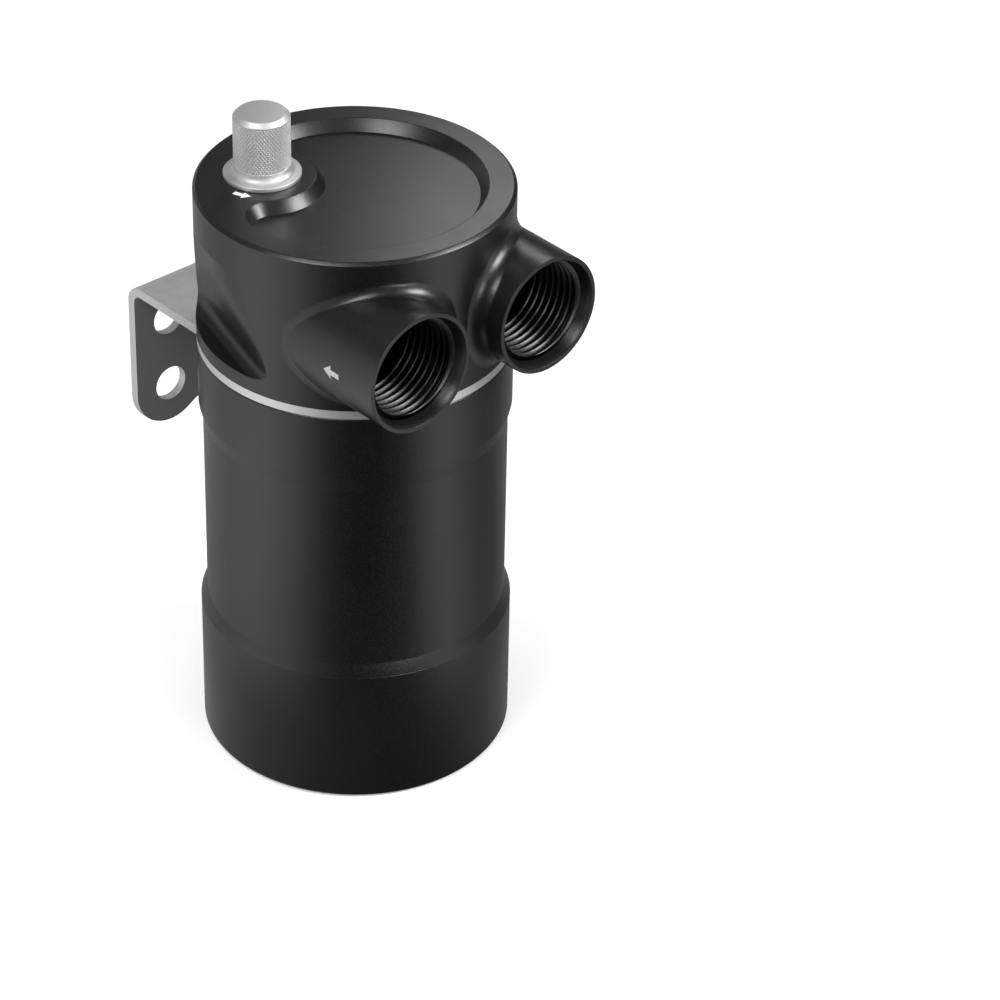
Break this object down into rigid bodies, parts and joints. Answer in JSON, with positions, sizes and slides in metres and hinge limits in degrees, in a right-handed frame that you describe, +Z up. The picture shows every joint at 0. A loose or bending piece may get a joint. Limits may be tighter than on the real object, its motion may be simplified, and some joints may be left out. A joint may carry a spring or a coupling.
{
  "type": "oil catch can",
  "caption": "Round oil catch can: a black canister screwed to a ported head with a knurled dipstick, a bent steel mounting bracket and a honeycomb baffle inside",
  "frame": {"origin": "centre of the canister's base", "axes": "+Z up along the canister, ports towards -Y, bracket towards +Y, inlet at -X"},
  "size_m": [0.081, 0.1025, 0.1774],
  "materials": {
    "black_aluminium": "fine satin black anodised",
    "seal_rubber": "matt black",
    "satin_steel": "satin stainless",
    "wire_steel": "woven stainless wire",
    "screw_steel": "bright stainless",
    "rod_aluminium": "satin black anodised",
    "bare_aluminium": "blasted clear anodised"
  },
  "bodies": {
    "canister": {"canister": "black_aluminium"},
    "canister_seal": {"canister_seal": "seal_rubber"},
    "bracket": {"bracket": "satin_steel"},
    "head": {"head": "black_aluminium", "baffle_plate": "satin_steel", "mesh_screen": "wire_steel", "baffle_screw_front": "screw_steel", "baffle_screw_rear": "screw_steel"},
    "dipstick_seal": {"dipstick_seal": "seal_rubber"},
    "dipstick": {"dipstick_rod": "rod_aluminium", "dipstick_knob": "bare_aluminium"}
  },
  "joints": [
    {"name": "head_lift", "type": "slide", "parent": "canister", "child": "canister_seal", "axis": [0, 0, 1], "range_m": [0, 0.12]},
    {"name": "head_rise", "type": "slide", "parent": "canister_seal", "child": "bracket", "axis": [0, 0, 1], "range_m": [0, 0.0101]},
    {"name": "head_turn", "type": "hinge", "parent": "bracket", "child": "head", "pos_m": [0, 0, 0.1185], "axis": [0, 0, 1], "range_deg": [0, 1800]},
    {"name": "dipstick_rise", "type": "slide", "parent": "head", "child": "dipstick_seal", "axis": [0, 0, 1], "range_m": [0, 0.0064]},
    {"name": "dipstick_turn", "type": "hinge", "parent": "dipstick_seal", "child": "dipstick", "pos_m": [-0.015, 0.01757, 0.16], "axis": [0, 0, 1], "range_deg": [0, 1800]}
  ],
  "couplings": [
    {"joint": "head_rise", "follows": "head_turn", "m_per_rad": 0.00031831},
    {"joint": "dipstick_rise", "follows": "dipstick_turn", "m_per_rad": 0.00019894}
  ]
}
